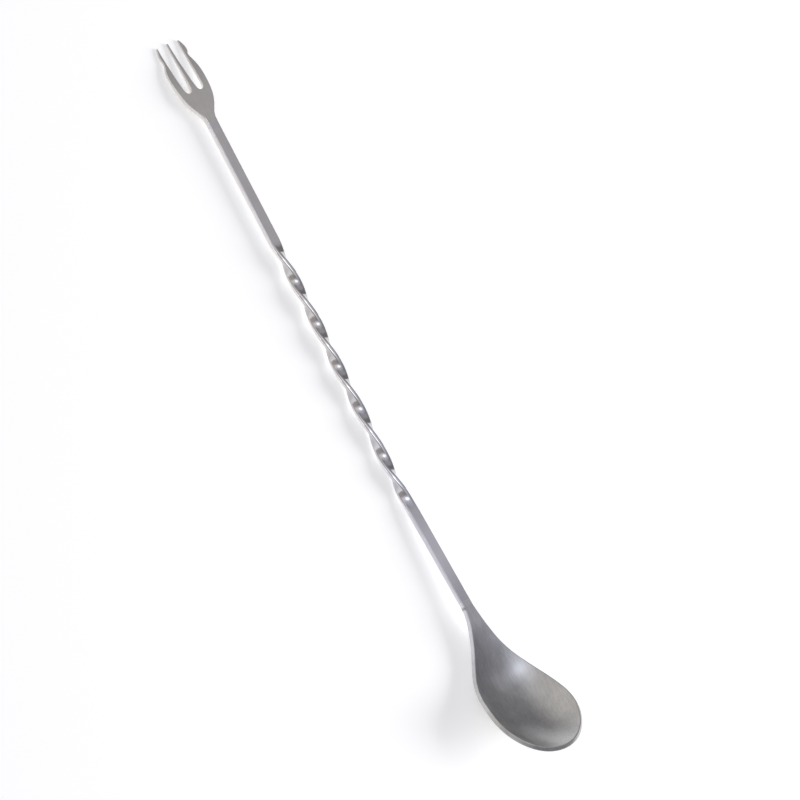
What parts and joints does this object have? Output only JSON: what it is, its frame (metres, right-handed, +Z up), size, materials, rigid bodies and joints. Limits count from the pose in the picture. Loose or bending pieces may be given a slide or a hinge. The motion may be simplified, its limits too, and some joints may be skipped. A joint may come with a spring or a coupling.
{
  "type": "bar spoon",
  "caption": "Long stirring spoon: egg-shaped bowl on a flat bar twisted over its middle, with a small three-tined garnish fork at the other end.",
  "frame": {"origin": "on the table plane under the middle of the spoon's overall length, as it lies on its tine tips and the belly of its bowl", "axes": "+X from the fork to the bowl, +Y sideways, +Z up out of the hollow of the bowl"},
  "size_m": [0.2668, 0.0314, 0.0187],
  "materials": {
    "fork_steel": "satin, ground along the tines",
    "weld_steel": "ground flush and satin brushed",
    "stem_steel": "satin, drawn along the bar, brighter on the twist",
    "bowl_steel": "satin, fine scratches round the hollow"
  },
  "bodies": {
    "root": {"fork_head": "fork_steel", "fork_weld": "weld_steel", "twisted_stem": "stem_steel", "bowl_weld": "weld_steel", "spoon_bowl": "bowl_steel"}
  },
  "joints": []
}
